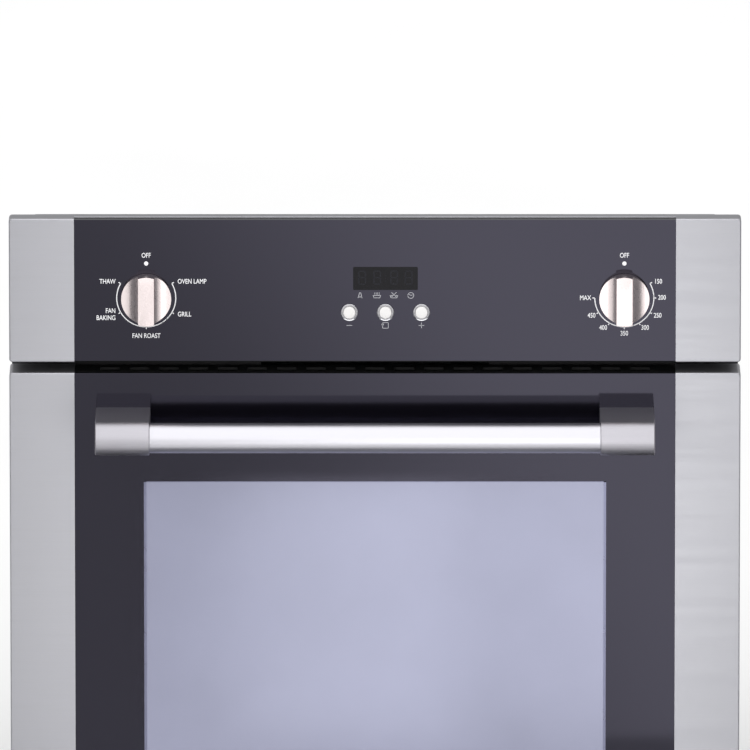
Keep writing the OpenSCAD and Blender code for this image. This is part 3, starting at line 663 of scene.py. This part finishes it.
class OVEN_OT_print(bpy.types.Operator):
    """White signs printed on the control panel"""
    bl_idname = "oven.print"
    bl_label = "Panel print"

    def execute(self, context):
        bm = bmesh.new()
        self.function_dial(bm)
        self.temperature_dial(bm)
        finish_piece("panel_print", bm, white_print(), "chassis")
        bm = bmesh.new()
        self.clock_signs(bm)
        finish_piece("clock_signs", bm, thin_print(), "chassis")
        return {"FINISHED"}

    def spot(self, centre, radius, angle):
        """The point at a radius and a clockwise angle from the top, in degrees."""
        turn = math.radians(angle)
        return (centre[0] + radius * math.sin(turn), centre[1] + radius * math.cos(turn))

    def ticks(self, bm, centre, angles):
        """Short lines that point outwards from a knob's ring."""
        inner = sizes().ring
        outer = inner + 1.9 * MM
        for angle in angles:
            add_bar(bm, self.spot(centre, inner, angle), self.spot(centre, outer, angle), sizes().line)

    def function_dial(self, bm):
        """Ring, ticks and words round the left knob."""
        c = middle("function_knob")
        centre, letters = (c.x, c.z), sizes().letters
        add_arc(bm, centre, sizes().ring, sizes().line, 60, 300)
        self.ticks(bm, centre, (60, 120, 180, 240, 300))
        add_dot(bm, (c.x, c.z + DOT_UP), 1.75 * MM)
        add_words(bm, "OFF", (c.x, c.z + OFF_UP), letters)
        places = (("OVEN LAMP", 25.5, 13.6, "LEFT"), ("GRILL", 25.5, -13.6, "LEFT"),
                  ("FAN ROAST", 0, -31.5, "CENTER"), ("FAN", -24.9, -10.8, "RIGHT"),
                  ("BAKING", -24.9, -16.6, "RIGHT"), ("THAW", -24.9, 13.6, "RIGHT"))
        for words, x, z, align in places:
            add_words(bm, words, (c.x + x * MM, c.z + z * MM), letters, align)

    def temperature_dial(self, bm):
        """Ring, ticks and numbers round the right knob."""
        c = middle("temperature_knob")
        centre, letters = (c.x, c.z), sizes().letters
        add_arc(bm, centre, sizes().ring, sizes().line, 60, 270)
        self.ticks(bm, centre, range(60, 271, 30))
        add_dot(bm, (c.x, c.z + DOT_UP), 1.75 * MM)
        add_words(bm, "OFF", (c.x, c.z + OFF_UP), letters)
        spots = ((27.5, 13.6), (30.6, 0.3), (27.1, -14.6), (16.9, -24.7), (0, -29.5), (-17.1, -24.7),
                 (-26.6, -14.6))
        for i, (x, z) in enumerate(spots):
            add_words(bm, str(150 + 50 * i), (c.x + x * MM, c.z + z * MM), letters)
        add_words(bm, "MAX", (c.x - 27.0 * MM, c.z), letters, "RIGHT")

    def clock_signs(self, bm):
        """Signs under the three buttons and under the clock."""
        line = 0.45 * MM
        near, far = 6.9 * MM, 20.6 * MM
        for node, sign in (("button_minus", "-"), ("button_menu", "o"), ("button_plus", "+")):
            c = middle(node)
            x, z, arm = c.x, c.z - 10.9 * MM, 2.3 * MM
            if sign in "-+":
                add_bar(bm, (x - arm, z), (x + arm, z), line)
            if sign == "+":
                add_bar(bm, (x, z - arm), (x, z + arm), line)
            if sign == "o":
                corners = [(x - arm, z + arm), (x + arm, z + arm), (x + arm, z - arm), (x - arm, z - arm)]
                for a, b in zip(corners, corners[1:] + corners[:1]):
                    add_bar(bm, a, b, line)
                add_dot(bm, (x - arm, z + arm * 0.35), 0.9 * MM)
        z = middle("timer_display").z - 14.1 * MM
        x = middle("timer_display").x
        self.bell(bm, x - far, z)
        self.dish(bm, x - near, z, False)
        self.dish(bm, x + near, z, True)
        add_arc(bm, (x + far, z), 2.4 * MM, line, 0, 360, 32)
        add_bar(bm, (x + far, z), (x + 18.9 * MM, z + 0.9 * MM), line)
        add_bar(bm, (x + far, z), (x + 22.1 * MM, z + 0.5 * MM), line)

    def bell(self, bm, x, z):
        """A small bell."""
        line = 0.5 * MM
        add_bar(bm, (x - 1.6 * MM, z - 2.2 * MM), (x - 0.5 * MM, z + 2.2 * MM), line)
        add_bar(bm, (x + 1.6 * MM, z - 2.2 * MM), (x + 0.5 * MM, z + 2.2 * MM), line)
        add_bar(bm, (x - 1.5 * MM, z - 1.2 * MM), (x + 1.5 * MM, z - 1.2 * MM), line)
        add_bar(bm, (x - 0.6 * MM, z + 2.2 * MM), (x + 0.6 * MM, z + 2.2 * MM), line)

    def dish(self, bm, x, z, crossed):
        """A small dish, crossed out or with steam over it."""
        line = 0.45 * MM
        add_bar(bm, (x - 3.2 * MM, z), (x + 3.2 * MM, z), line)
        add_bar(bm, (x - 2.3 * MM, z - 2.0 * MM), (x + 2.3 * MM, z - 2.0 * MM), line)
        for s in (-1, 1):
            add_bar(bm, (x + s * 3.2 * MM, z), (x + s * 2.3 * MM, z - 2.0 * MM), line)
        if crossed:
            for s in (-1, 1):
                add_bar(bm, (x - s * 2.1 * MM, z + 2.6 * MM), (x + s * 2.1 * MM, z - 1.4 * MM), line)
        else:
            for i in (-1.8, -0.6, 0.6, 1.8):
                add_bar(bm, (x + i * MM, z + 0.7 * MM), (x + i * MM, z + 2.5 * MM), line * 0.8)


class OVEN_OT_clock(bpy.types.Operator):
    """Dark clock window with four unlit digits"""
    bl_idname = "oven.clock"
    bl_label = "Clock window"

    def execute(self, context):
        low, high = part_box("timer_display")
        bm = bmesh.new()
        pane = add_box(bm, (low.x, FRONT - INK / 2, low.z), (high.x, FRONT + 0.2 * MM, high.z))
        bevel(bm, edges_of(pane, along(1)), 0.8 * MM, 3)
        finish_piece("clock_window", bm, display_plastic(), "chassis")
        bm = bmesh.new()
        centre = (low + high) / 2
        for spot in (-19.0, -6.7, 7.0, 18.9):
            self.digit(bm, centre.x + spot * MM, centre.z + 0.7 * MM)
        for z in (-2.2, 2.2):
            add_dot(bm, (centre.x + 0.2 * MM, centre.z + z * MM), 0.5 * MM)
        finish_piece("clock_digits", bm, dim_print(), "chassis")
        return {"FINISHED"}

    def digit(self, bm, x, z):
        """The seven bars of one digit."""
        wide, tall, line, gap = 2.7 * MM, 5.4 * MM, 1.1 * MM, 0.45 * MM
        for level in (-1, 0, 1):
            add_bar(bm, (x - wide + gap, z + level * tall), (x + wide - gap, z + level * tall), line)
        for side in (-1, 1):
            for level in (-1, 1):
                add_bar(bm, (x + side * wide, z + gap * level),
                        (x + side * wide, z + level * (tall - gap)), line)


class OVEN_OT_glass(bpy.types.Operator):
    """Front glass of the panel and the door, with the door's mirror window"""
    bl_idname = "oven.glass"
    bl_label = "Front glass"

    def execute(self, context):
        low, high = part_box("door_outer_glass")
        half = sizes().window_width / 2
        top = DOOR_TOP - sizes().window_drop
        bottom = top - sizes().window_height
        bm = bmesh.new()
        pane = add_box(bm, low, high)
        bevel(bm, edges_of(pane), 0.5 * MM, 2)
        finish_piece("door_front_glass", bm, front_glass(), "door",
                     ("door_outer_glass",))
        bm = bmesh.new()
        add_box(bm, (-half, low.y - 0.00004, bottom), (half, low.y + 0.4 * MM, top))
        finish_piece("door_window", bm, window_coating(), "door")
        bm = bmesh.new()
        # Painted shade: grey strips along the window's left, right and top edges stand in for the shadow of
        # the glass's thickness.
        border, top_border = 2.1 * MM, 0.6 * MM
        out = low.y - 0.00008
        add_box(bm, (-half, out, bottom), (-half + border, low.y, top))
        add_box(bm, (half - border, out, bottom), (half, low.y, top))
        add_box(bm, (-half, out, top - top_border), (half, low.y, top))
        finish_piece("window_edge", bm, window_edge_painted_shade(), "door")
        return {"FINISHED"}


class OVEN_OT_handle(bpy.types.Operator):
    """Handle bar with its two end brackets"""
    bl_idname = "oven.handle"
    bl_label = "Handle"

    def execute(self, context):
        low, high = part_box("handle_bar")
        axis = (low + high) / 2
        radius = (high.z - low.z) / 2
        bm = bmesh.new()
        bmesh.ops.create_circle(bm, cap_ends=True, radius=radius, segments=128)
        push_out(bm, list(bm.faces), (0, 0, high.x - low.x))
        bmesh.ops.rotate(bm, verts=bm.verts, cent=(0, 0, 0), matrix=Matrix.Rotation(math.pi / 2, 3, "Y"))
        bmesh.ops.translate(bm, vec=(low.x, axis.y, axis.z), verts=bm.verts)
        finish_piece("handle_tube", bm, bar_metal(), "door", ("handle_bar",))
        self.brackets(axis)
        return {"FINISHED"}

    def brackets(self, axis):
        """Two brackets with round noses, which hold the bar's ends."""
        low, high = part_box("handle_ends")
        nose = (high.z - low.z) / 2
        width = 44.2 * MM
        steps = 24
        bm = bmesh.new()
        for sign in (-1, 1):
            outer = sign * high.x
            x0 = min(outer, outer - sign * width)
            side = bmesh.new()
            outline = [(high.y, axis.z + nose)]
            outline += [(axis.y - nose * math.sin(math.pi * i / steps),
                         axis.z + nose * math.cos(math.pi * i / steps)) for i in range(steps + 1)]
            outline += [(high.y, axis.z - nose)]
            face = side.faces.new([side.verts.new((x0, y, z)) for y, z in outline])
            push_out(side, [face], (width, 0, 0))
            rim = [e for e in side.edges if abs(e.verts[0].co.x - e.verts[1].co.x) < 1e-7
                   and (max(v.co.y for v in e.verts) < high.y - 0.01 * MM
                        or abs(e.verts[0].co.y - e.verts[1].co.y) > 10 * MM)]
            bevel(side, rim, 0.7 * MM, 3)
            mesh = to_mesh("bracket", side)
            bm.from_mesh(mesh)
            bpy.data.meshes.remove(mesh)
        finish_piece("handle_brackets", bm, bracket_metal(), "door",
                     ("handle_ends",), 30.0)


class OVEN_OT_stage(bpy.types.Operator):
    """Pale floor, soft studio light and the camera"""
    bl_idname = "oven.stage"
    bl_label = "Stage"

    def execute(self, context):
        self.floor()
        self.light(context.scene)
        self.reflections()
        self.camera(context.scene)
        return {"FINISHED"}

    def floor(self):
        """A wide pale floor."""
        bm = bmesh.new()
        bmesh.ops.create_grid(bm, x_segments=4, y_segments=4, size=30)
        floor = add_object("floor", to_mesh("floor", bm))
        floor.data.materials.append(speckle("pale_floor", srgb("f4f4f4"), 0.9, 0.5, 0.005, 0.0))

    def light(self, scene):
        """Even light from all round and a very soft lamp from the front and above."""
        world = bpy.data.worlds.new("studio")
        scene.world = world
        world.use_nodes = True
        background = world.node_tree.nodes["Background"]
        background.inputs["Color"].default_value = (1, 1, 1, 1)
        background.inputs["Strength"].default_value = 0.4
        scene.view_settings.view_transform = "Standard"
        sun = bpy.data.lights.new("sun", "SUN")
        sun.energy = 2.8
        sun.angle = math.radians(110)
        add_object("sun", sun).rotation_euler = (math.radians(34), math.radians(-8), 0)

    def reflections(self):
        """Two glowing cards and three dark flags that the glass and the steel mirror."""
        self.card("light_card", (-0.4, 0.28), 0.47, (-0.08, 0.42), 0.6, 1.3)
        self.card("window_card", (-0.2, 0.15), 0.23, (0.16, 0.03), 0.0, 1.1)
        side, top = 0.37, 0.9
        near, far = FRONT - 0.4, FRONT - 0.03
        for x in (-side, side):
            self.flag([(x, near, 0), (x, far, 0), (x, far, top), (x, near, top)])
        half, low, near = 0.6, 0.01, FRONT - 0.24
        self.flag([(-half, near, low), (half, near, low), (half, FRONT, low), (-half, FRONT, low)])

    def camera(self, scene):
        """A long lens from a little above, with the oven's top edge in the upper part of the view."""
        pitch = math.radians(12)
        distance = 15.25
        top_above_centre = 0.1269613
        look = Vector((0.0, FRONT, PANEL_TOP - top_above_centre / math.cos(pitch)))
        camera = add_object("camera", bpy.data.cameras.new("camera"))
        camera.data.lens = 900.0
        camera.data.sensor_width = 36.0
        camera.data.clip_end = 60.0
        camera.location = look + Vector((0, -math.cos(pitch), math.sin(pitch))) * distance
        camera.rotation_euler = (math.pi / 2 - pitch, 0, 0)
        scene.camera = camera

    def sheet(self, name, corners):
        """A flat studio sheet that the camera itself doesn't see."""
        bm = bmesh.new()
        bm.faces.new([bm.verts.new(c) for c in corners])
        made = add_object(name, to_mesh(name, bm))
        made.visible_camera = False
        made.visible_shadow = False
        return made

    def card(self, name, sides, top, span, lean, power):
        """A glowing card in front of the oven, from dark to full power over a span. With a lean, the
        span is measured along X and up Z, and without one it is measured outwards from the middle."""
        y = FRONT - (0.7 if lean else 0.69)
        left, right = sides
        made = self.sheet(name, [(left, y, 0), (right, y, 0), (right, y, top), (left, y, top)])
        made.visible_diffuse = False
        glow = bpy.data.materials.new(name)
        glow.use_nodes = True
        tree = glow.node_tree
        tree.nodes.clear()
        where = add_node(tree, "ShaderNodeTexCoord")
        axes = add_node(tree, "ShaderNodeSeparateXYZ", {"Vector": where.outputs["Object"]})
        across = axes.outputs["X"]
        if lean:
            tilt = add_node(tree, "ShaderNodeMath", {0: axes.outputs["Z"], 1: lean}, operation="MULTIPLY")
            way = add_node(tree, "ShaderNodeMath", {0: across, 1: tilt.outputs[0]}, operation="ADD")
        else:
            off = add_node(tree, "ShaderNodeMath", {0: across, 1: -(left + right) / 2}, operation="ADD")
            way = add_node(tree, "ShaderNodeMath", {0: off.outputs[0]}, operation="ABSOLUTE")
        level = add_node(tree, "ShaderNodeMapRange",
                         {"Value": way.outputs[0], "From Min": span[0], "From Max": span[1],
                          "To Min": 0.0, "To Max": power}, interpolation_type="SMOOTHERSTEP")
        clear = add_node(tree, "ShaderNodeBsdfTransparent")
        light = add_node(tree, "ShaderNodeEmission", {"Strength": level.outputs[0]})
        mixed = add_node(tree, "ShaderNodeAddShader", {0: clear.outputs[0], 1: light.outputs[0]})
        add_node(tree, "ShaderNodeOutputMaterial", {"Surface": mixed.outputs[0]})
        made.data.materials.append(glow)

    def flag(self, corners):
        """A dark flag beside the light, which only shiny surfaces see."""
        made = self.sheet("flag", corners)
        made.visible_diffuse = False
        made.visible_transmission = False
        made.data.materials.append(speckle("dark_flag", srgb("7c7c80"), 0.9, 0.01, 0.05, 0.0))


class OVEN_PT_panel(bpy.types.Panel):
    """Sizes, colours and steps of the wall oven"""
    bl_label = "Wall Oven"
    bl_idname = "OVEN_PT_panel"
    bl_space_type = "VIEW_3D"
    bl_region_type = "UI"
    bl_category = "Wall Oven"

    def draw(self, context):
        for group in (context.scene.oven_sizes, context.scene.oven_colours):
            for name in group.__annotations__:
                self.layout.prop(group, name)
        for step in STEPS:
            self.layout.operator(step.bl_idname)


STEPS = (OVEN_OT_finishes, OVEN_OT_glass, OVEN_OT_strips, OVEN_OT_top_trim, OVEN_OT_knobs, OVEN_OT_buttons,
         OVEN_OT_print, OVEN_OT_clock, OVEN_OT_handle, OVEN_OT_stage)
CLASSES = (OvenSizes, OvenColours, *STEPS, OVEN_PT_panel)


def register():
    for cls in CLASSES:
        bpy.utils.register_class(cls)
    bpy.types.Scene.oven_sizes = PointerProperty(type=OvenSizes)
    bpy.types.Scene.oven_colours = PointerProperty(type=OvenColours)


def unregister():
    del bpy.types.Scene.oven_colours
    del bpy.types.Scene.oven_sizes
    for cls in reversed(CLASSES):
        bpy.utils.unregister_class(cls)


def main():
    register()
    for step in STEPS:
        group, name = step.bl_idname.split(".")
        getattr(getattr(bpy.ops, group), name)()


if __name__ == "__main__":
    main()
